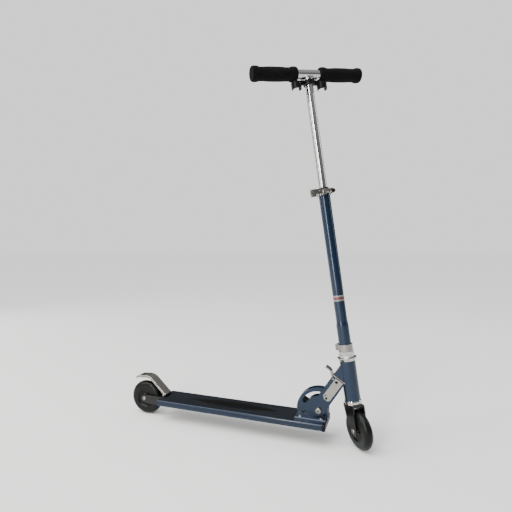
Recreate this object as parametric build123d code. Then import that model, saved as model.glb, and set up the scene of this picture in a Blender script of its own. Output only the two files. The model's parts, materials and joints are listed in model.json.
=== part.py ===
from build123d import *
from math import asin, cos, degrees, radians, sin
import os

# A folding kick scooter, in millimetres. It is laid out with Z = 0 on the ground, X forward from the
# rear axle and Y to the rider's left, and is written out about the middle of the deck's underside.

# ---- driving dimensions -------------------------------------------------------------------------
wheel_d = 98.0
wheel_w = 24.0
wheelbase = 618.0
head_rake = 8.8            # lean of the steering axis from upright, degrees
fork_lead = 10.7           # front axle ahead of the steering axis
steer_angle = -52.0        # how far the bars are turned to the rider's right, degrees

deck_top = 60.2
deck_t = 16.7
deck_w = 83.0
deck_rear_x = 60.2
deck_nose = 21.4           # front end of the deck ahead of the fold pivot
deck_wall = 2.5
deck_edge_r = 3.2
tape_t = 0.6
cap_t = 8.0                # thickness of the front end cap

head_tube_d = 38.4
head_tube_bore_d = 34.0
head_tube_low = 73.3       # heights along the steering axis, measured from the axle's level
head_tube_high = 171.0
steerer_d = 25.4
steerer_bore_d = 21.4
steerer_top = 232.0
stem_clamp_low = 194.0
stem_clamp_high = 211.5
stem_d = 27.2              # lower stem tube
stem_foot_d = 30.0         # its swaged foot, which slips over the steerer
stem_wall = 1.4
stem_foot_top = 258.0
stem_top = 590.0
height_clamp_low = 575.0
bar_height = 866.3         # crossbar centre along the steering axis
upper_tube_d = 19.0
upper_tube_wall = 1.3
upper_tube_bottom = 460.0
height_travel = 220.0
crossbar_d = 22.2
crossbar_wall = 1.2
crossbar_half = 29.2
handle_tube_d = 19.0
handle_tube_wall = 1.5
grip_inner = 30.0          # grip ends, measured out from the middle of the bar
grip_outer = 143.5
grip_ring_d = 34.8
grip_body_d = 32.0
grip_waist_d = 29.8

pivot_setback = 103.2      # fold pivot behind the front axle
pivot_z = 84.1
pivot_bolt_d = 10.0
pivot_socket_r = 4.6        # hexagon socket in the pivot bolt's head, corner radius
pivot_socket_depth = 3.2
fold_range = 78.0
bracket_r = 56.5           # outer radius of the folding plates about the pivot
bracket_plate_t = 4.0
bracket_gap = 14.0         # between the two folding plates
window_r = 41.5            # mean radius of the curved window
window_w = 12.6
neck_angle = 57.0          # direction of the neck above the level, degrees
neck_plate_t = 4.0
neck_low = -12.0           # the neck's front and rear edges, from a line through the pivot
neck_high = 21.4
neck_len = 97.8
lock_pin_d = 6.0
lock_travel = 4.2
lock_pin_at = (40.0, 3.0)  # along and across the neck, from the pivot
link_pin_at = (90.0, 6.0)
lever_pin_at = (90.0, 17.0)

axle_d = 8.0
bearing_d = 22.0
bearing_w = 7.0
fork_gap = 26.4            # between the front fork's legs
fork_plate_t = 3.2
rear_gap = 27.0            # between the rear fork's arms
rear_arm_t = 3.5
fender_w = 30.0
fender_t = 2.0
brake_range = 5.0

# ---- clearances ---------------------------------------------------------------------------------
run_fit = 0.04             # radial, on a pin or axle that turns
slide_fit = 0.10           # radial, on a tube that slides
side_gap = 0.4             # between flat faces that pass each other
hole_gap = 0.1             # radial, round a screw
loose = 0.3                # between moving pieces that don't guide each other

wheel_r = wheel_d / 2
axle_r = axle_d / 2
deck_low = deck_top - deck_t
deck_half = deck_w / 2
pivot_x = wheelbase - pivot_setback
deck_front_x = pivot_x + deck_nose
deck_mid_x = (deck_rear_x + deck_front_x) / 2

rake = radians(head_rake)
axis_up = Vector(-sin(rake), 0, cos(rake))
axis_fore = Vector(cos(rake), 0, sin(rake))
turn = radians(steer_angle)
bar_fore = axis_fore * cos(turn) + Vector(0, 1, 0) * sin(turn)
steer_origin = Vector(wheelbase, 0, wheel_r) - axis_fore * fork_lead
head_frame = Plane(origin=steer_origin, x_dir=axis_fore, z_dir=axis_up)
steer_frame = Plane(origin=steer_origin, x_dir=bar_fore, z_dir=axis_up)
pivot = Vector(pivot_x, 0, pivot_z)
neck_dir = Vector(cos(radians(neck_angle)), 0, sin(radians(neck_angle)))
neck_side = Plane(origin=pivot, x_dir=neck_dir, z_dir=(0, -1, 0))    # x along the neck, y to its rear
pivot_side = Plane(origin=pivot, x_dir=(1, 0, 0), z_dir=(0, -1, 0))
side = Plane.XZ

nodes = {}


# ---- helpers ------------------------------------------------------------------------------------
def rod(r, z0, z1):
    return Pos(0, 0, (z0 + z1) / 2) * Cylinder(r, z1 - z0)


def ring(r_out, r_in, z0, z1):
    return rod(r_out, z0, z1) - rod(r_in, z0 - 1, z1 + 1)


def along_y(shape, x=0.0, z=0.0):
    """Lays a shape made along Z along Y instead, so that its Z becomes Y."""
    return Pos(x, 0, z) * Rot(-90, 0, 0) * shape


def slab(face, y0, y1):
    """The solid that a face on an upright side plane sweeps from Y = y0 to Y = y1."""
    return extrude(Pos(0, y1, 0) * face, amount=y1 - y0, dir=(0, -1, 0))


def outline(plane, *points):
    return plane * make_face(Polyline(*points, close=True))


def turned(*points):
    """A solid of revolution about Z from (radius, height) points."""
    face = make_face(Polyline(*[(r, 0, z) for r, z in points], close=True))
    return revolve(face, Axis.Z)


def box(x0, x1, y0, y1, z0, z1):
    return Pos((x0 + x1) / 2, (y0 + y1) / 2, (z0 + z1) / 2) * Box(x1 - x0, y1 - y0, z1 - z0)


def both_sides(shape):
    return [shape, mirror(shape, Plane.XZ)]


def hex_rod(r, z0, z1):
    return extrude(Pos(0, 0, z0) * RegularPolygon(r, 6), amount=z1 - z0)


def button_head(r, h, z0, socket_r):
    """A domed screw head with a hexagon socket, standing on z0."""
    dome = turned((0, z0), (r, z0), (r, z0 + 0.45 * h), (0.86 * r, z0 + 0.8 * h), (0.6 * r, z0 + h), (0, z0 + h))
    return dome - hex_rod(socket_r, z0 + 0.45 * h, z0 + h + 1)


def torsion_coil(r, wire_r, length, turns):
    path = Helix(pitch=length / turns, height=length, radius=r)
    section = Plane(origin=path @ 0, z_dir=path % 0) * Circle(wire_r)
    return Pos(0, 0, -length / 2) * sweep(section, path=path)


def put(name, *shapes, frame=None):
    """Files the solids of a node, moved out of a local frame into the scooter."""
    solids = []
    for shape in shapes:
        placed = frame.location * shape if frame else shape
        solids += placed.solids()
    nodes[name] = solids


# ---- wheels -------------------------------------------------------------------------------------
hub_r = 23.0
hub_rib_r = 26.0
hub_rib_half = 3.5
hub_half = 10.0
bearing_r = bearing_d / 2
bearing_in = 1.5                       # inner face of each bearing
bearing_out = bearing_in + bearing_w
spoke_hole_r = 1.6
spoke_hole_pcr = 19.2
spoke_holes = 12


def wheel(prefix, frame):
    crown_r = wheel_w / 2
    shoulder = wheel_r - crown_r
    wall_foot = hub_r + 4
    rim = Polyline((hub_r, hub_half - 1), (hub_r, hub_rib_half), (hub_rib_r, hub_rib_half),
                   (hub_rib_r, -hub_rib_half), (hub_r, -hub_rib_half), (hub_r, 1 - hub_half),
                   (wall_foot, -crown_r), (shoulder, -crown_r))
    crown = ThreePointArc((shoulder, -crown_r), (wheel_r, 0), (shoulder, crown_r))
    wall = Polyline((shoulder, crown_r), (wall_foot, crown_r), (hub_r, hub_half - 1))
    tyre = revolve(make_face(rim.edges() + crown.edges() + wall.edges()), Axis.Y)
    hub = turned((hub_r, 1 - hub_half), (hub_r, -hub_rib_half), (hub_rib_r, -hub_rib_half),
                 (hub_rib_r, hub_rib_half), (hub_r, hub_rib_half), (hub_r, hub_half - 1),
                 (hub_r - 1.5, hub_half), (bearing_r + 5, hub_half), (bearing_r + 3.5, hub_half - 1.2),
                 (bearing_r, hub_half - 1.2), (bearing_r, bearing_in), (bearing_r - 2.5, bearing_in),
                 (bearing_r - 2.5, -bearing_in), (bearing_r, -bearing_in), (bearing_r, 1.2 - hub_half),
                 (bearing_r + 3.5, 1.2 - hub_half), (bearing_r + 5, -hub_half), (hub_r - 1.5, -hub_half))
    hub -= PolarLocations(spoke_hole_pcr, spoke_holes) * Cylinder(spoke_hole_r, 3 * hub_half)
    bore = axle_r + run_fit
    shield = 0.6
    race = turned((bore, bearing_in), (6.2, bearing_in), (6.2, bearing_in + shield), (9.4, bearing_in + shield),
                  (9.4, bearing_in), (bearing_r, bearing_in), (bearing_r, bearing_out), (9.4, bearing_out),
                  (9.4, bearing_out - shield), (6.2, bearing_out - shield), (6.2, bearing_out), (bore, bearing_out))
    spacer = ring(axle_r + 2, bore + 0.06, -bearing_in, bearing_in)
    put(prefix + "_tyre", tyre, frame=frame)
    put(prefix + "_hub", along_y(hub), frame=frame)
    put(prefix + "_bearings", *both_sides(along_y(race)), along_y(spacer), frame=frame)


def axle(prefix, frame, half_gap, plate_t):
    """A shoulder bolt, its nut and the two washers that centre the wheel between two plates."""
    face = half_gap + plate_t
    head = Rot(180, 0, 0) * button_head(5.4, 2.9, face, 2.4)
    bolt = head + rod(axle_r, -face, face + 5.5)
    nut = hex_rod(7.2, face, face + 5) - rod(axle_r + hole_gap, face - 1, face + 6)
    washer = ring(axle_r + 2.4, axle_r + hole_gap, bearing_out + loose, half_gap)
    put(prefix + "_axle_bolt", along_y(bolt), frame=frame)
    put(prefix + "_axle_nut", along_y(nut), frame=frame)
    put(prefix + "_axle_washers", *both_sides(along_y(washer)), frame=frame)


rear_axle_frame = Plane(origin=(0, 0, wheel_r), x_dir=(1, 0, 0), z_dir=(0, 0, 1))
front_axle_frame = Plane(origin=steer_origin + bar_fore * fork_lead, x_dir=bar_fore, z_dir=axis_up)
wheel("rear", rear_axle_frame)
wheel("front", front_axle_frame)
axle("rear", rear_axle_frame, rear_gap / 2, rear_arm_t)
axle("front", front_axle_frame, fork_gap / 2, fork_plate_t)


# ---- deck ---------------------------------------------------------------------------------------
deck_body_front = deck_front_x - cap_t
rib_t = 2.2
rib_y = 0.4 * deck_half
screw_r = 3.0
foot_t = 8.0
foot_out = 33.0
foot_rear_x = pivot_x - 57.2
foot_front_x = pivot_x + 18.8
foot_screws = [(pivot_x - 43.8, 27.0), (pivot_x + 9.2, 27.0)]
fork_tongue_front = deck_rear_x + 52.0
fork_tongue_half = rear_gap / 2 + rear_arm_t
fork_tongue_t = 3.0
fork_screws = [deck_rear_x + 18.0, deck_rear_x + 40.0]
fork_screw_y = 10.0
groove_w = 3.0
groove_d = 0.8
groove_x = [fork_tongue_front + 8.0, foot_rear_x - 8.0]


def deck_section(inset):
    r = max(deck_edge_r - inset, 0.5)
    return RectangleRounded(deck_w - 2 * inset, deck_t - 2 * inset, r)


def cavities(inset):
    """The three hollow cells of the deck extrusion, each drawn in by inset, in the Y-Z plane."""
    hollow = deck_section(deck_wall + inset)
    for y in (-rib_y, rib_y):
        hollow -= Pos(y, 0) * Rectangle(rib_t + 2 * inset, deck_t)
    return hollow


section_plane = Plane(origin=(0, 0, deck_low + deck_t / 2), x_dir=(0, 1, 0), z_dir=(1, 0, 0))
deck = extrude(section_plane * (deck_section(0) - cavities(0)), amount=deck_body_front - deck_rear_x)
deck = Pos(deck_rear_x, 0, 0) * deck
side_line = box(deck_rear_x - 1, deck_body_front + 1, deck_half - 0.7, deck_half + 1,
                deck_low + 0.5 * deck_t, deck_low + 0.5 * deck_t + 1.4)
deck -= side_line + mirror(side_line, Plane.XZ)
for x in groove_x:
    deck -= box(x, x + groove_w, -deck_half - 1, deck_half + 1, deck_low - 1, deck_low + groove_d)
for x, y in foot_screws:
    for s in (-1, 1):
        deck -= Pos(x, s * y, deck_top) * Cylinder(screw_r + hole_gap, 3 * deck_wall)
for x in fork_screws:
    for s in (-1, 1):
        deck -= Pos(x, s * fork_screw_y, deck_low) * Cylinder(screw_r + hole_gap, 3 * deck_wall)
put("deck", deck)

tape_edge = deck_edge_r
tape = box(deck_rear_x + 1.5, foot_rear_x - 1.5, tape_edge - deck_half, deck_half - tape_edge,
           deck_top, deck_top + tape_t)
tape = fillet(tape.edges().filter_by(Axis.Z), 4)
brake_pin_x = deck_rear_x + 5.6
hinge_ear_out = 9.5
tape -= box(deck_rear_x, brake_pin_x + 6, -hinge_ear_out - 1.5, hinge_ear_out + 1.5, deck_top - 1, deck_top + 2)
badge_x0 = 150.0
badge_x1 = 408.0
badge_half = 20.0
badge_t = 0.3
badge_curve_low = ThreePointArc((badge_x0, 0), ((badge_x0 + badge_x1) / 2, -badge_half), (badge_x1, 0))
badge_curve_high = ThreePointArc((badge_x1, 0), ((badge_x0 + badge_x1) / 2, badge_half), (badge_x0, 0))
badge_face = make_face(badge_curve_low.edges() + badge_curve_high.edges())
badge = extrude(Pos(0, 0, deck_top + tape_t) * badge_face, amount=badge_t)
put("grip_tape", tape)
put("deck_badge", badge)

cap_lip = 0.9
cap_shell = extrude(section_plane * RectangleRounded(deck_w + 2 * cap_lip, deck_t + 2 * cap_lip, deck_edge_r + cap_lip),
                    amount=cap_t)
cap_shell = Pos(deck_body_front, 0, 0) * cap_shell
cap_shell = fillet(cap_shell.faces().sort_by(Axis.X)[-1].edges(), 3.2)
plug_len = 12.0
plugs = Pos(deck_body_front - plug_len, 0, 0) * extrude(section_plane * cavities(0.2), amount=plug_len)
end_cap = cap_shell + plugs
end_cap -= box(deck_body_front - 1, deck_front_x + 1, -foot_out - loose, foot_out + loose, deck_top, deck_top + 5)
for x, y in foot_screws:
    for s in (-1, 1):
        end_cap -= Pos(x, s * y, deck_top) * Cylinder(screw_r + loose, 2 * deck_t)
put("front_end_cap", end_cap)


# ---- rear fork and brake ------------------------------------------------------------------------
arm_in = rear_gap / 2
arm_out = arm_in + rear_arm_t
arm_top = deck_top + 0.1
arm_low = deck_low - 8.7
arm_end_r = 11.0
web_x = wheel_r + 4.5
arm_face = outline(side, (1, wheel_r + arm_end_r - 0.6), (15, arm_top), (deck_rear_x - 0.1, arm_top),
                   (deck_rear_x - 0.1, deck_low - fork_tongue_t), (52, arm_low), (15, arm_low),
                   (1, wheel_r - arm_end_r + 0.6))
arm_face += side * Pos(0, wheel_r) * Circle(arm_end_r)
arm_face -= side * Pos(0, wheel_r) * Circle(axle_r + hole_gap)
arm = slab(arm_face, arm_in, arm_out)
web = box(web_x, web_x + 4, -arm_in, arm_in, deck_low - fork_tongue_t, arm_top - 6)
tongue = box(web_x, fork_tongue_front, -arm_out, arm_out, deck_low - fork_tongue_t, deck_low)
rear_fork = arm + mirror(arm, Plane.XZ) + web + tongue
for x in fork_screws:
    for s in (-1, 1):
        rear_fork -= Pos(x, s * fork_screw_y, deck_low) * Cylinder(screw_r + hole_gap, 10)
put("rear_fork", rear_fork)
fork_bolts = []
for x in fork_screws:
    for s in (-1, 1):
        bolt = Rot(180, 0, 0) * button_head(5.2, 3.4, 0, 2.0)
        bolt += rod(screw_r, 0, fork_tongue_t + deck_wall + 5)
        fork_bolts.append(Pos(x, s * fork_screw_y, deck_low - fork_tongue_t) * bolt)
put("rear_fork_bolts", *fork_bolts)

brake_pin_z = deck_top + 5.9
brake_pin_r = 2.0
fender_half = fender_w / 2
fender_flange = 6.4
hinge_ear_t = 2.5
hinge_ear_in = hinge_ear_out - hinge_ear_t
ear_face = outline(side, (brake_pin_x - 3.4, deck_top), (brake_pin_x + 3.4, deck_top),
                   (brake_pin_x + 3.4, brake_pin_z), (brake_pin_x - 3.4, brake_pin_z))
ear_face += side * Pos(brake_pin_x, brake_pin_z) * Circle(3.4)
ear_face -= side * Pos(brake_pin_x, brake_pin_z) * Circle(brake_pin_r + hole_gap)
ear = slab(ear_face, hinge_ear_in, hinge_ear_in + hinge_ear_t)
hinge_base = box(brake_pin_x - 4.4, brake_pin_x + 4.4, -hinge_ear_in - hinge_ear_t,
                 hinge_ear_in + hinge_ear_t, deck_top, deck_top + 1.5)
put("brake_hinge_bracket", ear + mirror(ear, Plane.XZ) + hinge_base)
pin_len = fender_half + 1.6
hinge_pin = rod(brake_pin_r, -pin_len, pin_len)
hinge_pin += turned((0, pin_len), (3.4, pin_len), (2.6, pin_len + 1.4), (0, pin_len + 1.6))
hinge_pin += turned((0, -pin_len), (3.4, -pin_len), (2.6, -pin_len - 1.4), (0, -pin_len - 1.6))
put("brake_hinge_pin", along_y(hinge_pin, brake_pin_x, brake_pin_z))

# a pressed channel: one bent outline, rounded along its two long outer edges and hollow from below
fender_line = FilletPolyline((-29, wheel_d + 13.5), (-19, wheel_d + 18), (19, wheel_d + 20.6),
                             (brake_pin_x + 6.5, deck_top + 8.5), radius=[14, 34])
fender_sheet = make_face(side * offset(fender_line, amount=-fender_t, side=Side.RIGHT, closed=True))
fender_cheek = make_face(side * offset(fender_line, amount=-fender_flange, side=Side.RIGHT, closed=True))
fender = slab(fender_cheek, -fender_half, fender_half)
fender_top = side * fender_line
long_edges = [e for e in fender.edges() if abs(fender_top.distance_to(e.center()) - fender_half) < 0.01
              and abs(abs(e.center().Y) - fender_half) < 0.01]
fender = fillet(long_edges, fender_t - 0.1)
fender -= slab(fender_cheek - fender_sheet, fender_t - fender_half, fender_half - fender_t)
lug = slab(side * Pos(brake_pin_x, brake_pin_z) * Circle(4.6), fender_half - fender_t, fender_half)
fender += lug + mirror(lug, Plane.XZ)
fender -= along_y(rod(brake_pin_r + run_fit, -fender_w, fender_w), brake_pin_x, brake_pin_z)
put("brake_fender", fender)

pad_gap = 5.0
pad_half = 9.0
pad_mid = 57.0              # middle and half of the pad's arc about the rear axle, degrees
pad_arc = 11.0
pad_ring = Circle(wheel_r + pad_gap + 14) - Circle(wheel_r + pad_gap)
wedge_r = 2 * wheel_r
wedge = make_face(Polyline((0, 0),
                           (wedge_r * cos(radians(pad_mid - pad_arc)), wedge_r * sin(radians(pad_mid - pad_arc))),
                           (wedge_r * cos(radians(pad_mid + pad_arc)), wedge_r * sin(radians(pad_mid + pad_arc))),
                           close=True))
pad = slab(side * Pos(0, wheel_r) * (pad_ring & wedge), -pad_half, pad_half)
over_fender = make_face(side * offset(fender_line, amount=20, side=Side.LEFT, closed=True))
pad -= slab(fender_sheet, -fender_half, fender_half)
pad -= slab(over_fender, -fender_half, fender_half)
put("brake_pad", pad.solids().sort_by(SortBy.VOLUME)[-1])
brake_coil = torsion_coil(brake_pin_r + loose + 0.6, 0.6, 10.0, 5)
put("brake_spring", along_y(brake_coil, brake_pin_x, brake_pin_z))


# ---- folding bracket on the deck ----------------------------------------------------------------
plate_in = bracket_gap / 2
plate_out = plate_in + bracket_plate_t
foot_top = deck_top + foot_t
step_z = foot_top + 8.0                # the plates step out above their feet
plate_rear = pivot_x - foot_rear_x
bracket_disc = Circle(bracket_r)
front_line = neck_low - 1.0
keep = Rot(0, 0, neck_angle) * Pos(0, front_line + 100) * Rectangle(400, 200)
keep &= Pos(0, step_z - pivot_z + 100) * Rectangle(400, 200)
disc_part = bracket_disc & keep
lower_part = make_face(Polyline((-plate_rear + 1.5, foot_top - pivot_z), (-plate_rear + 1.5, step_z - pivot_z),
                                (bracket_r * cos(radians(150)), bracket_r * sin(radians(150))),
                                (0, 30), (23, 8), (23, foot_top - pivot_z), close=True))
window = SlotArc(CenterArc((0, 0), window_r, 60, 90), window_w)
bolt_hole = Circle(pivot_bolt_d / 2 + run_fit)
plate_face = pivot_side * (disc_part + lower_part - window - bolt_hole)
plate = slab(plate_face, plate_in, plate_out)
plate -= box(foot_rear_x - 5, foot_front_x + 30, plate_out - 1.6, plate_out + 1, foot_top + 1, step_z)
foot = box(foot_rear_x, foot_front_x, plate_in, foot_out, deck_top, foot_top)
foot = chamfer(foot.edges().filter_by(Axis.X).group_by(Axis.Z)[-1].sort_by(Axis.Y)[-1:], 2)
foot += box(foot_rear_x, pivot_x + 23, plate_in, plate_out, deck_top, foot_top)
for x, y in foot_screws:
    foot -= Pos(x, y, deck_top) * Cylinder(screw_r + hole_gap, 40)
folding_plate = plate + foot
put("folding_plates", *both_sides(folding_plate))

screws = []
for x, y in foot_screws:
    screw = button_head(4.6, 3.0, foot_top, 2.0) + rod(screw_r, deck_top - deck_wall - 6, foot_top)
    screws += both_sides(Pos(x, y, 0) * screw)
put("bracket_screws", *screws)

pin_polar = neck_angle + degrees(asin(lock_pin_at[1] / lock_pin_at[0]))
pin_r = lock_pin_d / 2
bumper_t = 8.0
bumper_mean_r = 38.0
bumper_angle = pin_polar + fold_range + degrees((pin_r + loose + bumper_t / 2) / bumper_mean_r)
bumper_face = pivot_side * Rot(0, 0, bumper_angle) * Pos(bumper_mean_r, 0) * RectangleRounded(24, bumper_t, 2)
put("fold_bumper", slab(bumper_face, -plate_in, plate_in))

neck_plate_in = plate_out + side_gap
neck_plate_out = neck_plate_in + neck_plate_t
head_face = neck_plate_out + loose
pivot_r = pivot_bolt_d / 2
pivot_bolt = Rot(180, 0, 0) * button_head(8.2, 5.5, head_face, 3.6) + rod(pivot_r, -head_face, head_face + 6.5)
pivot_nut = hex_rod(8.6, head_face, head_face + 6) - rod(pivot_r + hole_gap, head_face - 1, head_face + 8)
pivot_bolt -= Pos(0, 0, -head_face - 3.6) * extrude(RegularPolygon(pivot_socket_r, 6), pivot_socket_depth)
put("pivot_bolt", along_y(pivot_bolt, pivot_x, pivot_z))
put("pivot_nut", along_y(pivot_nut, pivot_x, pivot_z))
put("pivot_sleeve", along_y(ring(pivot_r + 3, pivot_r + hole_gap, -plate_in, plate_in), pivot_x, pivot_z))


# ---- neck: from the fold pivot up to the head tube ----------------------------------------------
neck_end_r = 14.5
pin_slot_w = lock_pin_d + 2 * loose
link_pin_r = 2.5
link_slot_w = 2 * link_pin_r + 2 * loose


def travel_slot(at, width):
    """A slot along the neck that a pin of the lock slides in."""
    slot = SlotCenterToCenter(lock_travel + 0.2, width)
    return Pos(at[0] + lock_travel / 2, at[1]) * slot


neck_face = make_face(Polyline((0, -neck_end_r), (neck_len, neck_low), (neck_len, neck_high),
                               (28, neck_high), (0, neck_end_r), close=True))
neck_face += Circle(neck_end_r)
neck_face -= Circle(pivot_r + run_fit)
neck_face -= travel_slot(lock_pin_at, pin_slot_w)
neck_face -= travel_slot(link_pin_at, link_slot_w)
lever_pin_r = 2.0
lever_half = neck_plate_in - 1.0
neck_face -= Pos(*lever_pin_at) * Circle(lever_pin_r + 0.02)
head_tube_r = head_tube_d / 2
head_space = head_frame.location * rod(head_tube_r, head_tube_low - 20, head_tube_high + 20)
neck_plate = slab(neck_side * neck_face, neck_plate_in, neck_plate_out) - head_space
put("neck_plates", *both_sides(neck_plate))

end_plate_t = 2.0
boss_from = neck_len + 0.2 + end_plate_t
boss_half = neck_plate_out - 1.6
boss_to = neck_len + 40
waist_half = neck_plate_in - 3
pocket_floor = link_pin_at[1] - link_pin_r - 1.2
core_from = bracket_r + 4
core_face = outline(neck_side, (core_from, neck_low + 0.5), (boss_from, neck_low + 0.5), (boss_from, pocket_floor),
                    (core_from, pocket_floor))
waist_face = outline(neck_side, (neck_len, neck_low + 0.5), (boss_from, neck_low + 0.5), (boss_from, pocket_floor),
                     (neck_len, pocket_floor))
boss_face = outline(neck_side, (boss_from, neck_low), (boss_to, neck_low), (boss_to, neck_high + 1),
                    (boss_from, neck_high + 1))
core = slab(core_face, -neck_plate_in, neck_plate_in) & slab(
    outline(neck_side, (0, neck_low), (neck_len, neck_low), (neck_len, neck_high), (0, neck_high)), -50, 50)
waist = slab(waist_face, -waist_half, waist_half)
boss = slab(boss_face, -boss_half, boss_half)
front_cut = head_frame.location * box(0, 60, -60, 60, 0, 300)
neck_block = core + waist + boss - head_space - front_cut
put("neck_block", neck_block.solids().sort_by(SortBy.VOLUME)[-1])
end_plate_face = outline(neck_side, (neck_len + 0.1, neck_low), (boss_from - 0.1, neck_low),
                         (boss_from - 0.1, neck_high), (neck_len + 0.1, neck_high))
end_plate = slab(end_plate_face, -neck_plate_out, neck_plate_out)
end_plate -= slab(waist_face, -waist_half - 0.05, waist_half + 0.05)
end_plate -= head_space
end_plate -= slab(outline(neck_side, (neck_len - 1, neck_low - 3), (boss_from + 1, neck_low - 3),
                          (boss_from + 1, neck_low + 1), (neck_len - 1, neck_low + 1)), -waist_half, waist_half)
lever_window = outline(neck_side, (neck_len - 1, pocket_floor), (boss_from + 1, pocket_floor),
                       (boss_from + 1, pocket_floor + 8), (neck_len - 1, pocket_floor + 8))
end_plate -= slab(lever_window, -lever_half - 0.6, lever_half + 0.6)
put("neck_end_plate", *end_plate.solids())

put("head_tube", ring(head_tube_r, head_tube_bore_d / 2, head_tube_low, head_tube_high), frame=head_frame)
bore_r = head_tube_bore_d / 2
steerer_r = steerer_d / 2
cup_in = steerer_r + 1.2
crown_top = 63.0
low, high = head_tube_low, head_tube_high
ball_r = 1.7
ball_pcr = bore_r + 0.6
ball_room = ball_pcr + ball_r + loose
race_in = 2.2                          # thickness of a cup behind its balls
lower_cup = turned((cup_in, low + 9), (bore_r, low + 9), (bore_r, low), (head_tube_r + 0.6, low),
                   (head_tube_r + 1.8, low - 3), (head_tube_r + 1.4, low - 7.5), (ball_room, low - 7.5),
                   (ball_room, low - race_in), (cup_in, low - race_in))
upper_cup = turned((cup_in, high - 9), (bore_r, high - 9), (bore_r, high), (head_tube_r + 0.4, high),
                   (head_tube_r + 2.4, high + 3.4), (head_tube_r + 4.2, high + 6.2), (head_tube_r + 4.2, high + 8.2),
                   (head_tube_r + 2.6, high + 8.2), (ball_room, high + 6.4), (ball_room, high + race_in),
                   (cup_in, high + race_in))
put("headset_cups", lower_cup, upper_cup, frame=head_frame)


def ball_ring(s):
    balls = 18
    cage = ring(ball_pcr + 0.8, ball_pcr - 0.8, s - 0.5, s + 0.5)
    for place in PolarLocations(ball_pcr, balls):
        cage += Pos(0, 0, s) * place * Sphere(ball_r)
    return cage


ball_drop = race_in + ball_r + 0.05
put("headset_bearings", ball_ring(low - ball_drop), ball_ring(high + ball_drop), frame=head_frame)


# ---- fold lock ----------------------------------------------------------------------------------
lock_in = neck_plate_out + side_gap
lock_t = 2.4
lock_out = lock_in + lock_t
lock_low = lock_pin_at[0] - 4.6
lock_high = neck_len - 0.6
lock_o0 = -7.5
lock_o1 = 13.3
lock_face = make_face(Polyline((lock_low + 5, lock_o0), (lock_high, lock_o0), (lock_high, lock_o1),
                               (lock_low + 6, lock_o1), (lock_low, lock_o1 - 7), (lock_low, lock_o0 + 5), close=True))
lock_hole = 7.0
lock_face -= Pos(*link_pin_at) * Rectangle(lock_hole, lock_hole)
lock_face -= Pos(lock_low + 9.5, lock_o1 - 4.2) * Circle(1.9)
lock_face -= Pos(*lock_pin_at) * Circle(pin_r)
lock_plate = slab(neck_side * lock_face, lock_in, lock_out)
ridge_face = outline(neck_side, (lock_high - 4.5, lock_o0), (lock_high, lock_o0), (lock_high, lock_o1),
                     (lock_high - 4.5, lock_o1))
lock_plate += slab(ridge_face, lock_in, lock_out + 0.8)
put("lock_plates", *both_sides(lock_plate))


def neck_pin(at, r, half):
    return slab(neck_side * Pos(*at) * Circle(r), -half, half)


lock_pin = neck_pin(lock_pin_at, pin_r, lock_out + 0.4)
socket = neck_side * Pos(*lock_pin_at) * RegularPolygon(1.7, 6)
lock_pin -= slab(socket, lock_out - 1.6, lock_out + 2)
lock_pin -= slab(socket, -lock_out - 2, 1.6 - lock_out)
link_pin = neck_pin(link_pin_at, link_pin_r, lock_in + 0.9)
link_tab = neck_side * Pos(*link_pin_at) * Rectangle(2 * link_pin_r, lock_hole)
link_pin += slab(link_tab, lock_in, lock_in + 0.9)
link_pin += slab(link_tab, -0.9 - lock_in, -lock_in)
put("lock_pins", lock_pin, link_pin)
put("lock_lever_pin", neck_pin(lever_pin_at, lever_pin_r, neck_plate_out))

cheek_t = 2.5
thumb_t = 2.6
arm_r = 4.4
pin_a, pin_o = lever_pin_at
link_a, link_o = link_pin_at
fork_slack = 0.5
cheek_face = Pos(pin_a, pin_o) * Circle(arm_r)
cheek_face += make_face(Polyline((pin_a - arm_r, pin_o), (link_a - arm_r - 0.8, link_o - 1.2),
                                 (link_a + arm_r + 0.8, link_o - 1.2), (pin_a + arm_r, pin_o), close=True))
cheek_face += make_face(Polyline((pin_a + arm_r - 3.6, pin_o - 2), (pin_a + arm_r, pin_o - 2),
                                 (pin_a + 6.2, pin_o + 7), (pin_a + 12.0, pin_o + 13.6), (pin_a + 11.2, pin_o + 16),
                                 (pin_a + 8.4, pin_o + 15.2), (pin_a - 3.2, pin_o + 3), close=True))
cheek_face -= Pos(link_a, link_o - 5) * Rectangle(2 * (link_pin_r + fork_slack), 16)
cheek_face -= Pos(pin_a, pin_o) * Circle(lever_pin_r + run_fit)
lever_cheek = slab(neck_side * cheek_face, lever_half - cheek_t, lever_half)
thumb_top = pin_a + 13.6
thumb_face = make_face(Polyline((pin_a + 8.6, pin_o + 13.6), (pin_a + 10.4, pin_o + 16.4),
                                (thumb_top - thumb_t, pin_o + 22), (thumb_top - thumb_t - 0.6, pin_o + 31),
                                (thumb_top - 0.6, pin_o + 31.4), (thumb_top, pin_o + 21),
                                (thumb_top - 1.8, pin_o + 14), (pin_a + 10.2, pin_o + 11.6), close=True))
thumb = slab(neck_side * thumb_face, -lever_half, lever_half)
put("lock_lever", lever_cheek + mirror(lever_cheek, Plane.XZ) + thumb)
lock_coil = torsion_coil(lever_pin_r + loose + 0.55, 0.55, 9.0, 4.5)
put("lock_spring", neck_side.location * Pos(*lever_pin_at, 0) * lock_coil)


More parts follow.
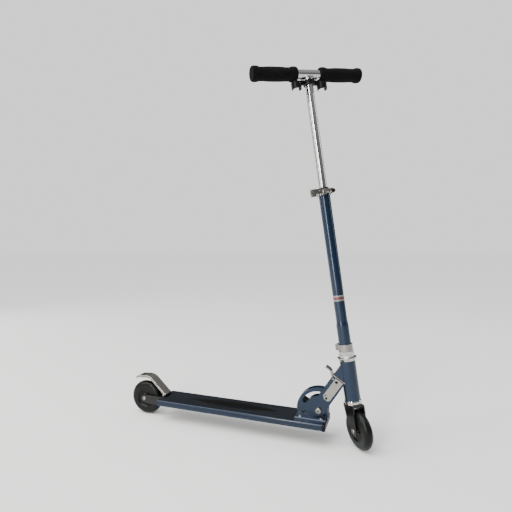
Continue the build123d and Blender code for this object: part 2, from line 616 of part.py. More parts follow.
# ---- fork and headset, turning with the bars -----------------------------------------------------
leg_in = fork_gap / 2
leg_out = leg_in + fork_plate_t
crown_t = 4.5
leg_end_r = 13.0
crown_half_len = 21.5
fork_side_face = make_face(Polyline((-crown_half_len, crown_top), (crown_half_len + 1, crown_top),
                                    (crown_half_len + 2, 30), (fork_lead + leg_end_r, 0),
                                    (fork_lead - leg_end_r, 0), (-13.5, 25), close=True))
fork_side_face += Pos(fork_lead, 0) * Circle(leg_end_r)
fork_side_face -= Pos(fork_lead, 0) * Circle(axle_r + hole_gap)
fork = box(-60, 60, -leg_out, leg_out, -60, crown_top)
fork = fillet(fork.edges().filter_by(Axis.X).group_by(Axis.Z)[-1], 4.5)
fork -= box(-61, 61, -leg_in, leg_in, -61, crown_top - crown_t)
fork &= slab(side * fork_side_face, -leg_out, leg_out)
steerer = ring(steerer_r, steerer_bore_d / 2, crown_top - crown_t, steerer_top)
fork = fork - rod(steerer_r - 0.5, crown_top - crown_t - 1, crown_top + 1) + steerer
put("fork", fork, frame=steer_frame)

race_r = steerer_r + hole_gap
race_out = ball_room - 0.6
race_top = low - ball_drop - ball_r - loose
crown_race = turned((race_r, crown_top), (race_out, crown_top), (race_out, race_top - 1.6),
                    (race_out - 1.4, race_top), (race_r, race_top))
cone_low = high + ball_drop + ball_r + loose
cone_r = bore_r + 1.0
top_cone = turned((race_r, cone_low), (race_out - 1.4, cone_low), (race_out, cone_low + 1.6),
                  (race_out, cone_low + 3.4), (cone_r, cone_low + 4.4), (cone_r, cone_low + 9.2),
                  (race_r, cone_low + 9.2))
put("headset_cones", crown_race, top_cone, frame=steer_frame)
nut_low = cone_low + 9.2
nut_high = stem_clamp_low - 0.3
lock_washer = ring(cone_r + 0.8, race_r, nut_low, nut_low + 1.6)
lock_nut = extrude(Pos(0, 0, nut_low + 1.8) * RegularPolygon(cone_r + 0.9, 8), amount=nut_high - nut_low - 1.8)
lock_nut -= rod(race_r, nut_low, nut_high + 1)
put("headset_lock_nut", lock_washer, lock_nut, frame=steer_frame)


# ---- lower stem tube and its clamps --------------------------------------------------------------
foot_r = stem_foot_d / 2
foot_bore_r = steerer_r + 0.1
stem_r = stem_d / 2
stem_bore_r = stem_r - stem_wall
stem = turned((foot_bore_r, stem_clamp_low), (foot_r, stem_clamp_low), (foot_r, stem_foot_top),
              (stem_r, stem_foot_top + 10), (stem_r, stem_top), (stem_bore_r, stem_top),
              (stem_bore_r, stem_foot_top + 4), (foot_bore_r, stem_foot_top - 8))
ear_angle = 200.0           # the stem clamp's ears, measured from straight ahead of the bars
foot_slit = Rot(0, 0, ear_angle) * box(5, 30, -1, 1, stem_clamp_low - 1, stem_clamp_high + 10)
top_slit = box(5, 30, -1, 1, stem_top - 17, stem_top + 1)
put("lower_stem_tube", stem - foot_slit - top_slit, frame=steer_frame)

clamp_wall = 2.8
ear_reach = 9.5
ear_half = 6.4
clamp_r = foot_r + clamp_wall
ears = box(0, clamp_r + ear_reach, -ear_half, ear_half, stem_clamp_low, stem_clamp_high)
ears = chamfer(ears.edges().filter_by(Axis.Y).sort_by(Axis.X)[-2:], 3)
clamp = rod(clamp_r, stem_clamp_low, stem_clamp_high) + ears
clamp -= rod(foot_r, stem_clamp_low - 1, stem_clamp_high + 1)
clamp -= box(0, 60, -1, 1, stem_clamp_low - 1, stem_clamp_high + 1)
bolt_x = clamp_r + 4.6
bolt_r = 2.1
bolt_levels = [stem_clamp_low + 5.2, stem_clamp_high - 5.2]
clamp_bolts = []
for s in bolt_levels:
    clamp -= along_y(rod(bolt_r + hole_gap, -20, 20), bolt_x, s)
    bolt = Rot(180, 0, 0) * button_head(3.6, 2.8, ear_half, 1.6) + rod(bolt_r, -ear_half, ear_half + 1.5)
    clamp_bolts.append(Rot(0, 0, ear_angle) * along_y(bolt, bolt_x, s))
put("stem_clamp", Rot(0, 0, ear_angle) * clamp, frame=steer_frame)
put("stem_clamp_bolts", *clamp_bolts, frame=steer_frame)

collar_r = stem_r + clamp_wall + 0.2
height_clamp_high = stem_top
h_ear_half = 7.5
h_bolt_x = collar_r + 5.0
h_bolt_s = (height_clamp_low + height_clamp_high) / 2
h_bolt_r = 2.5
collar_ears = box(0, h_bolt_x + 5.2, -h_ear_half, h_ear_half, height_clamp_low + 2.5, height_clamp_high - 2.5)
collar_ears = fillet(collar_ears.edges().filter_by(Axis.Y).sort_by(Axis.X)[-2:], 4)
collar = rod(collar_r, height_clamp_low, height_clamp_high) + collar_ears
collar -= rod(stem_r, height_clamp_low - 1, height_clamp_high + 1)
collar -= box(0, 60, -1.2, 1.2, height_clamp_low - 1, height_clamp_high + 1)
collar -= along_y(rod(h_bolt_r + hole_gap, -40, 40), h_bolt_x, h_bolt_s)
put("height_clamp", collar, frame=steer_frame)

cam_y = -h_ear_half - 5.6
knob_t = 8.5
washer_t = 1.6
cam_r = 5.2
cam_pin_r = 1.8
knuckle_half = 3.4
h_bolt = rod(h_bolt_r, cam_y, h_ear_half + washer_t + knob_t - 1)
h_bolt = along_y(h_bolt, h_bolt_x, h_bolt_s)
h_bolt += Pos(h_bolt_x, cam_y, h_bolt_s) * Cylinder(3.0, 2 * knuckle_half)
cam_pin = Pos(h_bolt_x, cam_y, h_bolt_s) * Cylinder(cam_pin_r, 12.6)
put("height_clamp_bolt", h_bolt + cam_pin, frame=steer_frame)
knob_y = h_ear_half + washer_t
knob = turned((h_bolt_r, knob_y), (5.6, knob_y), (5.6, knob_y + 3.4), (5.0, knob_y + 6), (3.2, knob_y + knob_t),
              (h_bolt_r, knob_y + knob_t))
knob_washer = ring(6.4, h_bolt_r + hole_gap, h_ear_half, knob_y)
put("height_clamp_knob", along_y(knob, h_bolt_x, h_bolt_s), along_y(knob_washer, h_bolt_x, h_bolt_s),
    frame=steer_frame)

lever_len = 31.0
lever_s0 = h_bolt_s - 5.8
lever_s1 = h_bolt_s + 5.8
lever_drop = 6.0                       # how far the lever's thicker end hangs below its blade
blade_t = 3.2
cam = Pos(h_bolt_x, cam_y, h_bolt_s) * Cylinder(cam_r, lever_s1 - lever_s0)
blade_line = ThreePointArc((h_bolt_x + 1.6, cam_y), (h_bolt_x + 0.2, cam_y - 0.55 * lever_len),
                           (h_bolt_x - 6.5, cam_y - lever_len))
blade_face = make_face(offset(blade_line, amount=blade_t, side=Side.LEFT, closed=True))
blade = extrude(Pos(0, 0, lever_s0) * blade_face, amount=lever_s1 - lever_s0)
end_face = make_face(offset(blade_line, amount=blade_t + 1.4, side=Side.LEFT, closed=True))
lever_end = extrude(Pos(0, 0, lever_s0 - lever_drop) * end_face, amount=lever_s1 - lever_s0 + lever_drop)
lever_end &= box(-60, 60, cam_y - 60, cam_y - lever_len + 10, lever_s0 - lever_drop, lever_s1)
height_lever = cam + blade + lever_end
height_lever -= Pos(h_bolt_x, cam_y, h_bolt_s) * Cylinder(cam_pin_r + run_fit, 60)
height_lever -= box(h_bolt_x - 9, h_bolt_x + 9, cam_y - cam_r - 1.0, cam_y + 9,
                    h_bolt_s - knuckle_half - loose, h_bolt_s + knuckle_half + loose)
eye_y = cam_y - 13.0
eye = Pos(h_bolt_x, eye_y, h_bolt_s) * Rot(0, 90, 0) * Cylinder(2.2, 40)
height_lever -= eye
put("height_clamp_lever", height_lever, frame=steer_frame)

upper_r = upper_tube_d / 2
bush_low = stem_top - 34
bush = turned((upper_r + slide_fit, bush_low), (stem_bore_r, bush_low), (stem_bore_r, stem_top),
              (stem_r + 0.6, stem_top), (stem_r + 0.6, stem_top + 2.2), (upper_r + 1.6, stem_top + 4.2),
              (upper_r + slide_fit, stem_top + 4.2))
put("stem_bush", bush, frame=steer_frame)


# ---- T-bar: upper tube, crossbar, bush and grip clip ----------------------------------------------
bar_r = crossbar_d / 2
bar_bore_r = bar_r - crossbar_wall
button_y = 17.4
button_hole_r = 3.3
upper_tube = ring(upper_r, upper_r - upper_tube_wall, upper_tube_bottom, bar_height)
upper_tube -= along_y(rod(bar_r, -60, 60), 0, bar_height)
crossbar = along_y(ring(bar_r, bar_bore_r, -crossbar_half, crossbar_half), 0, bar_height)
for s in (-1, 1):
    crossbar -= Pos(0, s * button_y, bar_height - bar_r) * Cylinder(button_hole_r, bar_r)
put("t_bar", upper_tube.solids().sort_by(SortBy.VOLUME)[-1], crossbar, frame=steer_frame)
sleeve_len = 16.0
put("lower_bush", ring(stem_bore_r - slide_fit, upper_r, upper_tube_bottom + 0.5, upper_tube_bottom + sleeve_len),
    frame=steer_frame)

clip_low = bar_height - 25.5
clip_high = bar_height - bar_r - 4.4
clip_r = upper_r + 3.6
cup_y = 34.0
cup_x = 0.5
cup_bore_r = handle_tube_d / 2 - 0.3
cup_wall = 2.8
cup_high = bar_height - grip_ring_d / 2 - 2.4
cup_low = cup_high - 16.0
cup_mouth = 118.0
clip = rod(clip_r, clip_low, clip_high)
arm_reach = cup_y - cup_bore_r
clip += box(-1.6, 3.4, -arm_reach, arm_reach, clip_low, clip_high)
for s in (-1, 1):
    cup = ring(cup_bore_r + cup_wall, cup_bore_r, cup_low, cup_high)
    mouth_r = 2 * cup_bore_r
    half = radians(cup_mouth / 2)
    mouth = make_face(Polyline((0, 0), (-mouth_r * cos(half), mouth_r * sin(half)),
                               (-mouth_r * 1.6, 0), (-mouth_r * cos(half), -mouth_r * sin(half)), close=True))
    cup -= extrude(Pos(0, 0, cup_low - 1) * mouth, amount=cup_high - cup_low + 2)
    clip -= Pos(cup_x, s * cup_y, 0) * rod(cup_bore_r, cup_low - 1, cup_high + 1)
    clip += Pos(cup_x, s * cup_y, 0) * cup
clip -= rod(upper_r, clip_low - 1, clip_high + 1)
put("grip_clip", clip, frame=steer_frame)


# ---- handles, grips and their spring buttons ------------------------------------------------------
handle_r = handle_tube_d / 2
handle_bore_r = handle_r - handle_tube_wall
handle_in = 3.5
slot_end = button_y + 6.0
slot_half = 4.2
ring_len = 19.0
waist_len = 7.0


def grip_outline():
    """Half the section of a foam grip: a fat ring at each end, a waist beside it and a crowned middle."""
    ring_rad, waist, body = grip_ring_d / 2, grip_waist_d / 2, grip_body_d / 2
    g0, g1 = grip_inner, grip_outer
    mid = (g0 + g1) / 2
    tops = [(g0, ring_rad - 3), (g0 + 3.5, ring_rad - 0.4), (g0 + ring_len / 2, ring_rad),
            (g0 + ring_len - 3, ring_rad - 1), (g0 + ring_len + waist_len / 2, waist),
            (g0 + ring_len + waist_len + 4, body - 0.7), (mid, body),
            (g1 - ring_len - waist_len - 4, body - 0.7), (g1 - ring_len - waist_len / 2, waist),
            (g1 - ring_len + 3, ring_rad - 1), (g1 - ring_len / 2, ring_rad), (g1 - 3.5, ring_rad - 0.4),
            (g1, ring_rad - 3)]
    curve = Spline(*[(r, 0, y) for y, r in tops])
    rest = Polyline((ring_rad - 3, 0, g1), (0, 0, g1), (0, 0, g1 - 2), (handle_r, 0, g1 - 2),
                    (handle_r, 0, g0), (ring_rad - 3, 0, g0))
    return make_face(curve.edges() + rest.edges())


grip = along_y(revolve(grip_outline(), Axis.Z))
grip = Pos(0, 0, bar_height) * grip
handle = along_y(ring(handle_r, handle_bore_r, handle_in, grip_outer - 2), 0, bar_height)
handle -= box(-slot_half, slot_half, handle_in - 1, slot_end, bar_height - 2 * handle_r, bar_height)
leaf_z0 = -bar_bore_r + 0.35
leaf_t = 0.8
leaf = box(-2.4, 2.4, handle_in + 0.5, button_y + 3, bar_height + leaf_z0, bar_height + leaf_z0 + leaf_t)
button = turned((0, 0), (2.9, 0), (2.9, -3.6), (2.2, -4.7), (1.0, -5.2), (0, -5.3))
button_low = Pos(0, button_y, bar_height + leaf_z0) * button
catch = leaf + button_low
for name, flip in (("left", False), ("right", True)):
    for node, shape in (("handle_tube", handle), ("grip", grip), ("handle_button", catch)):
        put(node + "_" + name, mirror(shape, Plane.XZ) if flip else shape, frame=steer_frame)


# ---- files ---------------------------------------------------------------------------------------
origin = Pos(-deck_mid_x, 0, -deck_low)
os.makedirs("parts", exist_ok=True)
for name, solids in nodes.items():
    export_step(origin * Compound(children=solids), os.path.join("parts", name + ".step"))
print(len(nodes), "nodes")
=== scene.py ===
import bpy
import json
import math
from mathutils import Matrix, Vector


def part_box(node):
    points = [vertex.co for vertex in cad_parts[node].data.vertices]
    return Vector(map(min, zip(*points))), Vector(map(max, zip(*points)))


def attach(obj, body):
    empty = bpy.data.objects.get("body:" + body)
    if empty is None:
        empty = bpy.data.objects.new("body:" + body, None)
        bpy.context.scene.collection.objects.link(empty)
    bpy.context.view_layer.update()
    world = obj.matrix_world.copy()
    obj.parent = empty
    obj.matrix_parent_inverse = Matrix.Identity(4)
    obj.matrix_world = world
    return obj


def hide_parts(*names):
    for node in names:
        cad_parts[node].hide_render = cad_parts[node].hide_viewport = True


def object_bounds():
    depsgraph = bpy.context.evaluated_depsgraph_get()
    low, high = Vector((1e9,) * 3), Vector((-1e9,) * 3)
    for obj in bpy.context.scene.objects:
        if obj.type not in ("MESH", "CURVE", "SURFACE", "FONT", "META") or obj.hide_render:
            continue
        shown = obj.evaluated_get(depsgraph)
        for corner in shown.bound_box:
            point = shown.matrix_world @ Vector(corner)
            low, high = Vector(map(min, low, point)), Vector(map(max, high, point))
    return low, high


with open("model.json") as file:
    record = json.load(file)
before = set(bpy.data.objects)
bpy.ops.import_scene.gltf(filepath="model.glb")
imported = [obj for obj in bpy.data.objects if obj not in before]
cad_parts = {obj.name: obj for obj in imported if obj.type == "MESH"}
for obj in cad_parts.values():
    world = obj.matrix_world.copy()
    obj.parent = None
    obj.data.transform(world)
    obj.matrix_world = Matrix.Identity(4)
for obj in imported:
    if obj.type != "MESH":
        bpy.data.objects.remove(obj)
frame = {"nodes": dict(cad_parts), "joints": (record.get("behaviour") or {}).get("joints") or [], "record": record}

# Lengths are in metres, in the frame's own coordinates.
cad_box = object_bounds()
nodes = frame["nodes"]
joints = {joint["name"]: joint for joint in frame["joints"]}
slots = {part["node"]: part["material_slot"] for part in frame["record"]["subparts"]}
scene = bpy.context.scene


def axis_of(joint):
    return Vector(joints[joint]["axis"])


def middle(node):
    low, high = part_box(node)
    return (low + high) / 2


# ---- node materials -----------------------------------------------------------------------------
class Mat:
    """A node material, with short calls for the nodes used here."""

    def __init__(self, name, **principled):
        self.mat = bpy.data.materials.new(name)
        self.mat.use_nodes = True
        self.tree = self.mat.node_tree
        self.bsdf = self.tree.nodes["Principled BSDF"]
        self.place = self.tree.nodes.new("ShaderNodeTexCoord").outputs["Object"]
        for key, value in principled.items():
            socket = self.bsdf.inputs[key.replace("_", " ")]
            socket.default_value = (*value, 1.0) if isinstance(value, tuple) else value

    def node(self, kind, out=0, props=None, **inputs):
        """Add a node and return one output. An input goes by its name, or by i and its number."""
        added = self.tree.nodes.new("ShaderNode" + kind)
        for key, value in (props or {}).items():
            setattr(added, key, value)
        for key, value in inputs.items():
            numbered = key[0] == "i" and key[1:].isdigit()
            socket = added.inputs[int(key[1:]) if numbered else key.replace("_", " ")]
            if isinstance(value, bpy.types.NodeSocket):
                self.tree.links.new(value, socket)
            else:
                socket.default_value = value
        return added.outputs[out]

    def stretched(self, scale):
        return self.node("Mapping", Vector=self.place, Scale=scale)

    def noise(self, scale, detail=4.0, rough=0.55, where=None):
        where = where or self.place
        return self.node("TexNoise", Vector=where, Scale=scale, Detail=detail, Roughness=rough)

    def cells(self, scale, out=0):
        """Voronoi cells: output 0 is the distance to a cell's centre, 1 is the cell's colour."""
        return self.node("TexVoronoi", out=out, Vector=self.place, Scale=scale)

    def remap(self, value, low, high, to_low, to_high):
        return self.node("MapRange", i0=value, i1=low, i2=high, i3=to_low, i4=to_high)

    def math(self, op, a, b=0.0):
        return self.node("Math", props={"operation": op}, i0=a, i1=b)

    def between(self, value, low, high):
        """1 where the value lies between the two limits, 0 elsewhere."""
        above = self.math("GREATER_THAN", value, low)
        return self.math("MULTIPLY", above, self.math("LESS_THAN", value, high))

    def mix(self, factor, a, b):
        def colour(c):
            return c if isinstance(c, bpy.types.NodeSocket) else (*c, 1.0)
        rgba = {"data_type": "RGBA"}
        return self.node("Mix", out=2, props=rgba, i0=factor, i6=colour(a), i7=colour(b))

    def set(self, **sockets):
        for key, value in sockets.items():
            self.tree.links.new(value, self.bsdf.inputs[key.replace("_", " ")])

    def bump(self, height, strength, distance):
        self.set(Normal=self.node("Bump", Height=height, Strength=strength, Distance=distance))


def shade(base, factor):
    return tuple(min(c * factor, 1.0) for c in base)


def paint(name, base, metallic=0.45, rough=0.3):
    """Sprayed metallic paint: fine flakes, a thin lacquer, orange peel, dust and light scuffs."""
    scuff_colour = (0.08, 0.09, 0.10)
    coat = {"Coat_Weight": 0.5, "Coat_Roughness": 0.17}
    m = Mat(name, Metallic=metallic, Specular_IOR_Level=0.12, **coat)
    flake = m.remap(m.node("SeparateColor", i0=m.cells(2600.0, out=1)), 0.0, 1.0, 0.0, 0.35)
    cloud = m.remap(m.noise(9.0), 0.3, 0.7, 0.0, 0.5)
    tone = m.mix(cloud, base, shade(base, 0.72))
    tone = m.mix(flake, tone, shade(base, 1.7))
    drawn_out = m.stretched((1.0, 1.0, 0.25))
    scuff = m.remap(m.noise(55.0, 6.0, 0.7, drawn_out), 0.66, 0.74, 0.0, 0.3)
    m.set(Base_Color=m.mix(scuff, tone, scuff_colour))
    spread = m.remap(m.noise(30.0), 0.2, 0.8, rough - 0.07, rough + 0.1)
    m.set(Roughness=m.math("ADD", spread, scuff))
    m.bump(m.noise(420.0, 2.0), 0.12, 0.0004)
    return m


def metal(name, base, rough, grain=(1.0, 1.0, 1.0), grain_depth=0.1, tarnish=0.25):
    """Bare or plated metal: a grain along one way, small stains and a wandering shine."""
    m = Mat(name, Metallic=1.0)
    line = m.noise(900.0, 3.0, 0.6, m.stretched(grain))
    stain = m.remap(m.noise(38.0, 6.0, 0.65), 0.48, 0.72, 0.0, tarnish)
    tone = m.mix(m.remap(line, 0.3, 0.7, 0.0, 0.5), base, shade(base, 0.82))
    m.set(Base_Color=m.mix(stain, tone, shade(base, 0.5)))
    spread = m.remap(m.noise(70.0, 5.0), 0.25, 0.75, rough * 0.75, rough * 1.5)
    m.set(Roughness=m.math("ADD", spread, m.math("MULTIPLY", stain, 0.3)))
    m.bump(line, grain_depth, 0.0002)
    return m


def plastic(name, base, rough, grain=900.0, depth=0.15):
    """Moulded plastic or rubber with a fine spark texture and worn, paler patches."""
    worn_colour = (0.02, 0.02, 0.02)
    m = Mat(name, Specular_IOR_Level=0.16)
    wear = m.remap(m.noise(26.0, 7.0, 0.7), 0.55, 0.75, 0.0, 0.35)
    tone = m.mix(m.remap(m.noise(6.0), 0.3, 0.7, 0.0, 0.6), base, shade(base, 0.7))
    m.set(Base_Color=m.mix(wear, tone, worn_colour))
    m.set(Roughness=m.remap(m.noise(48.0, 5.0), 0.25, 0.75, rough - 0.08, rough + 0.14))
    m.bump(m.noise(grain, 2.0), depth, 0.0004)
    return m


def tread(name):
    """Smooth poured polyurethane, very dark green, a little glossy, with specks of grit."""
    dark, light = (0.0012, 0.0030, 0.0022), (0.0025, 0.0048, 0.0036)
    grit_colour = (0.010, 0.010, 0.009)
    m = Mat(name, Specular_IOR_Level=0.14, Coat_Weight=0.08, Coat_Roughness=0.2)
    grit = m.remap(m.noise(240.0, 6.0, 0.7), 0.55, 0.7, 0.0, 0.35)
    tone = m.mix(m.remap(m.noise(14.0), 0.3, 0.7, 0.0, 1.0), dark, light)
    m.set(Base_Color=m.mix(grit, tone, grit_colour))
    m.set(Roughness=m.remap(m.noise(60.0, 5.0), 0.2, 0.8, 0.26, 0.5))
    m.bump(m.noise(500.0, 3.0), 0.2, 0.0003)
    return m


def grain_tips(m):
    """1 at the middle of each abrasive grain, falling to 0 between the grains."""
    return m.remap(m.cells(1700.0), 0.0, 0.45, 1.0, 0.0)


def grit_sheet(name):
    """Fine abrasive grains set in a dark blue-grey film, rubbed smoother in worn patches."""
    fresh_film, worn_film = (0.0055, 0.0075, 0.0105), (0.011, 0.0135, 0.017)
    tip_colour = (0.035, 0.039, 0.045)
    m = Mat(name, Specular_IOR_Level=0.12)
    tips = grain_tips(m)
    worn = m.remap(m.noise(11.0, 5.0, 0.6), 0.4, 0.7, 0.0, 0.5)
    tone = m.mix(worn, fresh_film, worn_film)
    m.set(Base_Color=m.mix(m.math("MULTIPLY", tips, 0.35), tone, tip_colour))
    m.set(Roughness=m.remap(worn, 0.0, 0.5, 0.82, 0.6))
    m.bump(tips, 0.5, 0.0005)
    return m


def printed(name):
    """The dark oval on the grip sheet: the same grit under a black print, with a thin line inside."""
    ink, tip_colour = (0.0012, 0.0014, 0.0016), (0.008, 0.008, 0.009)
    line_colour = (0.05, 0.05, 0.042)
    line_inner, line_outer = 0.84, 0.88
    m = Mat(name, Specular_IOR_Level=0.1)
    tips = grain_tips(m)
    low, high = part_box("deck_badge")
    centre = middle("deck_badge")
    half = (high - low) / 2
    split = m.node("SeparateXYZ", i0=m.place).node
    along = m.math("DIVIDE", m.math("SUBTRACT", split.outputs[0], centre.x), half.x)
    across = m.math("DIVIDE", m.math("SUBTRACT", split.outputs[1], centre.y), half.y)
    # reach grows from 0 in the middle of the oval to 1 at its edge
    reach = m.math("ADD", m.math("MULTIPLY", along, along), m.math("ABSOLUTE", across))
    line = m.between(reach, line_inner, line_outer)
    worn = m.remap(m.noise(160.0, 5.0, 0.7), 0.45, 0.6, 1.0, 0.35)
    tone = m.mix(m.math("MULTIPLY", tips, 0.3), ink, tip_colour)
    faded_line = m.math("MULTIPLY", line, m.math("MULTIPLY", worn, 0.5))
    m.set(Base_Color=m.mix(faded_line, tone, line_colour))
    m.set(Roughness=m.remap(m.noise(20.0), 0.3, 0.7, 0.6, 0.8))
    m.bump(tips, 0.4, 0.0005)
    return m


def foam(name):
    """Black closed-cell foam: pores painted darker as painted shade in their hollows, a soft nap and slightly
    greyer handled patches.
    """
    fresh, greyed = (0.0018, 0.0018, 0.0020), (0.0042, 0.0042, 0.0045)
    pore_shade_colour = (0.0008, 0.0008, 0.0008)
    m = Mat(name, Specular_IOR_Level=0.08, Sheen_Weight=0.01, Sheen_Roughness=0.6)
    pores = m.cells(900.0)
    handled = m.remap(m.noise(22.0, 5.0, 0.6), 0.45, 0.7, 0.0, 0.6)
    tone = m.mix(handled, fresh, greyed)
    # each pore's middle is painted darker, towards a near-black colour: painted shade in the hollow
    m.set(Base_Color=m.mix(m.remap(pores, 0.0, 0.35, 0.7, 0.0), tone, pore_shade_colour))
    m.set(Roughness=m.remap(m.noise(90.0), 0.3, 0.7, 0.84, 0.97))
    m.bump(m.math("ADD", pores, m.math("MULTIPLY", m.noise(160.0), 0.6)), 0.55, 0.0006)
    return m


def stem_paint(name, base):
    """The stem's paint, with one plain worn stripe round it near its foot."""
    # both are ranges of height above the place of the steering joint
    stripe, stripe_core = (0.218, 0.232), (0.222, 0.228)
    pale, red = (0.34, 0.33, 0.32), (0.22, 0.05, 0.04)
    m = paint(name, base)
    axis = axis_of("steering_turn")
    foot = Vector(joints["steering_turn"]["pos_m"]).dot(axis)
    dot = {"operation": "DOT_PRODUCT"}
    up = m.math("SUBTRACT", m.node("VectorMath", out=1, props=dot, i0=m.place, i1=axis), foot)
    worn = m.remap(m.noise(320.0, 4.0, 0.7), 0.4, 0.62, 0.9, 0.3)
    ink = m.math("MULTIPLY", m.between(up, *stripe), worn)
    under = m.bsdf.inputs["Base Color"].links[0].from_socket
    m.set(Base_Color=m.mix(ink, under, m.mix(m.between(up, *stripe_core), pale, red)))
    return m


navy = (0.0060, 0.0165, 0.0370)
# the deck's navy is the stem's navy darkened to 0.8: painted shade, standing in for the shade on the deck's sides
shaded_deck_navy = shade(navy, 0.8)
fork_black = (0.0025, 0.0025, 0.0026)
hub_black = (0.0050, 0.0054, 0.0054)
moulded_black = (0.0022, 0.0022, 0.0023)
rubber = (0.0022, 0.0022, 0.0022)
plated = (0.33, 0.315, 0.29)
alloy = (0.30, 0.29, 0.27)
fender = (0.30, 0.29, 0.265)
plated_grain = (1.0, 1.0, 0.15)
fender_grain = (0.06, 1.0, 0.06)
mats = {
    "navy_paint": paint("navy_paint", navy),
    # the deck paint takes the darkened navy as painted shade
    "deck_paint": paint("deck_paint", shaded_deck_navy, metallic=0.35, rough=0.34),
    "black_paint": paint("black_paint", fork_black, metallic=0.0, rough=0.3),
    "chrome": metal("chrome", (0.52, 0.515, 0.51), rough=0.05, grain_depth=0.004, tarnish=0.1),
    "zinc_steel": metal("zinc_steel", (0.30, 0.29, 0.275), rough=0.3, grain_depth=0.08),
    "silver_plate": metal("silver_plate", plated, rough=0.17, grain=plated_grain, tarnish=0.3),
    "clamp_alloy": metal("clamp_alloy", alloy, rough=0.15, tarnish=0.2),
    "fender_alloy": metal("fender_alloy", fender, rough=0.2, grain=fender_grain, grain_depth=0.25),
    "wheel_tyre": tread("wheel_tyre"),
    "hub_plastic": plastic("hub_plastic", hub_black, rough=0.4),
    "black_plastic": plastic("black_plastic", moulded_black, rough=0.4),
    "bush_plastic": plastic("bush_plastic", (0.003, 0.003, 0.003), rough=0.5),
    "rubber_black": plastic("rubber_black", rubber, rough=0.65, grain=600.0, depth=0.3),
    "foam_black": foam("foam_black"),
    "grip_sheet": grit_sheet("grip_sheet"),
    "badge_print": printed("badge_print"),
    "spring_steel": metal("spring_steel", (0.22, 0.22, 0.22), rough=0.25),
    "dark_steel": metal("dark_steel", (0.012, 0.012, 0.013), rough=0.35),
}


def dress(obj, material):
    obj.data.materials.clear()
    obj.data.materials.append(material.mat)


for node_name, node_obj in nodes.items():
    dress(node_obj, mats[slots[node_name]])
dress(nodes["lower_stem_tube"], stem_paint("stem_paint", navy))


# ---- turned pieces: the foam grips and the weld under the crossbar --------------------------------
def lathe(name, profile, start, axis, segments):
    """A skin turned about an axis through (along, radius) points, open where the profile ends."""
    side = axis.orthogonal().normalized()
    other = axis.cross(side)
    verts, faces = [], []
    for along, radius in profile:
        for k in range(segments):
            w = 2 * math.pi * k / segments
            outward = side * math.cos(w) + other * math.sin(w)
            verts.append(start + axis * along + outward * radius)
    for i in range(len(profile) - 1):
        row, above = i * segments, (i + 1) * segments
        for k in range(segments):
            n = (k + 1) % segments
            faces.append((row + k, row + n, above + n, above + k))
    mesh = bpy.data.meshes.new(name)
    mesh.from_pydata(verts, [], faces)
    mesh.polygons.foreach_set("use_smooth", [True] * len(mesh.polygons))
    mesh.update()
    obj = bpy.data.objects.new(name, mesh)
    scene.collection.objects.link(obj)
    return obj


grip_length = 0.1135
grip_bore_r = 0.0096
grip_ring_r = 0.0174
grip_waist_r = 0.0149
grip_body_r = 0.0160
grip_crown = 0.0012
grip_body_start = 0.0262
bar_middle = (middle("grip_left") + middle("grip_right")) / 2


def grip_profile():
    """(along, radius) points: rounded end rings, waists beside them and a crowned middle."""
    half = [
        (0.0, grip_bore_r),
        (0.0, grip_ring_r - 0.0035),
        (0.0008, grip_ring_r - 0.0015),
        (0.003, grip_ring_r - 0.0003),
        (0.010, grip_ring_r),
        (0.0150, grip_ring_r - 0.0006),
        (0.0178, grip_ring_r - 0.0022),
        (0.0196, grip_waist_r + 0.0004),
        (0.0212, grip_waist_r),
        (0.0232, grip_waist_r + 0.0006),
        (grip_body_start, grip_body_r - grip_crown),
    ]
    steps = 10
    span = grip_length - 2 * grip_body_start
    for k in range(1, steps // 2 + 1):
        t = k / steps
        drop = grip_crown * (1 - math.sin(math.pi * t)) ** 2
        half.append((grip_body_start + span * t, grip_body_r - drop))
    mirrored = [(grip_length - along, radius) for along, radius in reversed(half[:-1])]
    # the inner end turns in along the bore, and the outer end is closed by a shallow dish
    lip = [(0.0020, grip_bore_r)]
    dish = [(grip_length, 0.0132), (grip_length - 0.0008, 0.0120), (grip_length - 0.0010, 0.0005)]
    return lip + half + mirrored[:-1] + dish


def make_grip(side):
    axis = axis_of("handle_%s_slide" % side)
    reach = (middle("grip_" + side) - bar_middle).length
    start = bar_middle + axis * (reach - grip_length / 2)
    grip = lathe("foam_grip_" + side, grip_profile(), start, axis, segments=64)
    subdivision = grip.modifiers.new("smooth", "SUBSURF")
    subdivision.levels = 1
    subdivision.render_levels = 2
    dress(grip, mats["foam_black"])
    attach(grip, "handle_" + side)
    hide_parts("grip_" + side)


make_grip("left")
make_grip("right")


def make_weld():
    """A smooth brazed collar that flares from the upright up into the crossbar."""
    bar_r, tube_r = 0.0111, 0.0095
    reach = 0.0075
    top = reach + 0.0048
    rows = 9
    profile = [(0.0, tube_r - 0.0002)]
    for k in range(rows):
        t = k / (rows - 1)
        profile.append((0.0004 + (reach + 0.004) * t, tube_r + 0.0003 + 0.0045 * t ** 2.4))
    profile += [(top, tube_r + 0.001), (top, 0.0040)]
    up = axis_of("height_slide")
    fore = up.cross(axis_of("handle_left_slide")).normalized()
    weld = lathe("crossbar_weld", profile, bar_middle - up * (bar_r + reach), up, segments=48)
    # the collar's top ends just inside the crossbar's skin, beneath it and at its front and back
    bite = 0.0012
    limit = bar_r - 0.0004
    for v in weld.data.vertices:
        away = v.co - bar_middle
        depth = away.dot(fore)
        roof = bite - math.sqrt(max(bar_r ** 2 - min(depth ** 2, bar_r ** 2), 0.0))
        height = away.dot(up)
        if height > roof:
            v.co += up * (roof - height)
        if abs(depth) > limit:
            v.co -= fore * (depth - math.copysign(limit, depth))
    dress(weld, mats["chrome"])
    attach(weld, "t_bar")


make_weld()


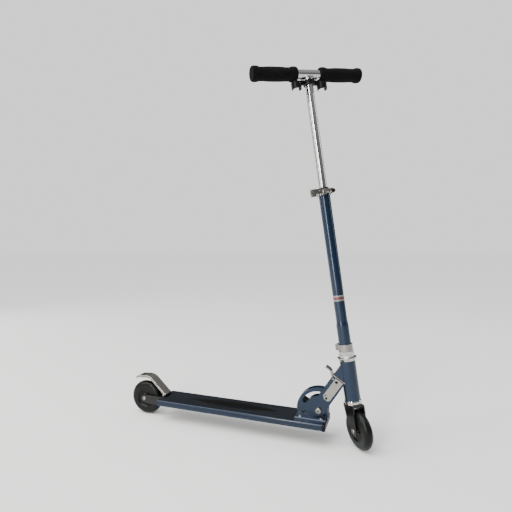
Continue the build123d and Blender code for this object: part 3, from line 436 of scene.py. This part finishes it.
# ---- stage, light and camera ---------------------------------------------------------------------
def make_floor():
    """A wide pale floor at the level of the part's lowest point."""
    far = 40.0
    floor_z = cad_box[0][2]
    corners = [(x, y, floor_z) for x, y in ((-far, -far), (far, -far), (far, far), (-far, far))]
    mesh = bpy.data.meshes.new("floor")
    mesh.from_pydata(corners, [], [(0, 1, 2, 3)])
    floor = bpy.data.objects.new("floor", mesh)
    scene.collection.objects.link(floor)
    pale = (0.86, 0.86, 0.85)
    dress(floor, Mat("pale_floor", Base_Color=pale, Roughness=0.9, Specular_IOR_Level=0.1))


make_floor()


def add_lamp(name, kind, toward, energy, colour):
    data = bpy.data.lights.new(name, kind)
    data.energy = energy
    data.color = colour
    lamp = bpy.data.objects.new(name, data)
    lamp.rotation_euler = Vector(toward).to_track_quat("-Z", "Y").to_euler()
    scene.collection.objects.link(lamp)
    return lamp


def area_light(name, place, aim, size, power, colour):
    lamp = add_lamp(name, "AREA", Vector(aim) - Vector(place), power, colour)
    lamp.location = place
    lamp.data.shape = "RECTANGLE"
    lamp.data.size, lamp.data.size_y = size


part_middle = (0.1, 0.0, 0.4)
area_light("key", (-0.45, -2.35, 1.1), (0.1, 0.0, 1.1), (0.24, 2.1), 62.0, (1.0, 0.97, 0.92))
area_light("left_soft", (-1.9, -1.5, 1.5), part_middle, (0.7, 1.9), 34.0, (1.0, 0.96, 0.90))
area_light("left_edge", (-2.4, 0.6, 1.3), part_middle, (0.4, 1.8), 14.0, (1.0, 0.97, 0.93))
area_light("right_edge", (2.2, 0.9, 1.2), part_middle, (0.35, 1.6), 10.0, (0.90, 0.95, 1.0))

# a soft light from far away, the same over the whole floor
overhead = add_lamp("overhead", "SUN", (0.25, 0.35, -1.0), 3.4, (0.99, 0.99, 1.0))
overhead.data.angle = math.radians(50.0)


def studio_world():
    """Dim at eye level and brighter overhead for the object, plain and pale where nothing stands."""
    eye_level = (0.05, (0.10, 0.10, 0.105, 1.0))
    above = (0.75, (0.55, 0.55, 0.56, 1.0))
    seen = (1.25, 1.25, 1.24, 1.0)
    world = bpy.data.worlds.new("studio")
    world.use_nodes = True
    tree = world.node_tree
    background = tree.nodes["Background"]
    place = tree.nodes.new("ShaderNodeTexCoord")
    split = tree.nodes.new("ShaderNodeSeparateXYZ")
    ramp = tree.nodes.new("ShaderNodeValToRGB")
    path = tree.nodes.new("ShaderNodeLightPath")
    pick = tree.nodes.new("ShaderNodeMix")
    pick.data_type = "RGBA"
    tree.links.new(place.outputs["Generated"], split.inputs[0])
    tree.links.new(split.outputs[2], ramp.inputs[0])
    for stop, (position, colour) in zip(ramp.color_ramp.elements, (eye_level, above)):
        stop.position = position
        stop.color = colour
    tree.links.new(path.outputs["Is Camera Ray"], pick.inputs[0])
    tree.links.new(ramp.outputs[0], pick.inputs[6])
    pick.inputs[7].default_value = seen
    tree.links.new(pick.outputs[2], background.inputs["Color"])
    background.inputs["Strength"].default_value = 1.0
    return world


scene.world = studio_world()


def make_camera():
    place = (0.3877, -0.9551, 0.4454)
    turn = math.radians(19.5)
    dip = math.radians(4.8)
    level = math.cos(dip)
    ahead = Vector((-math.sin(turn) * level, math.cos(turn) * level, -math.sin(dip)))
    data = bpy.data.cameras.new("camera")
    data.lens = 27.36
    data.sensor_width = 36.0
    data.shift_x = -0.003
    data.shift_y = 0.049
    camera = bpy.data.objects.new("camera", data)
    camera.rotation_mode = "QUATERNION"
    camera.location = place
    camera.rotation_quaternion = ahead.to_track_quat("-Z", "Y")
    scene.collection.objects.link(camera)
    return camera


scene.camera = make_camera()

bpy.context.view_layer.update()
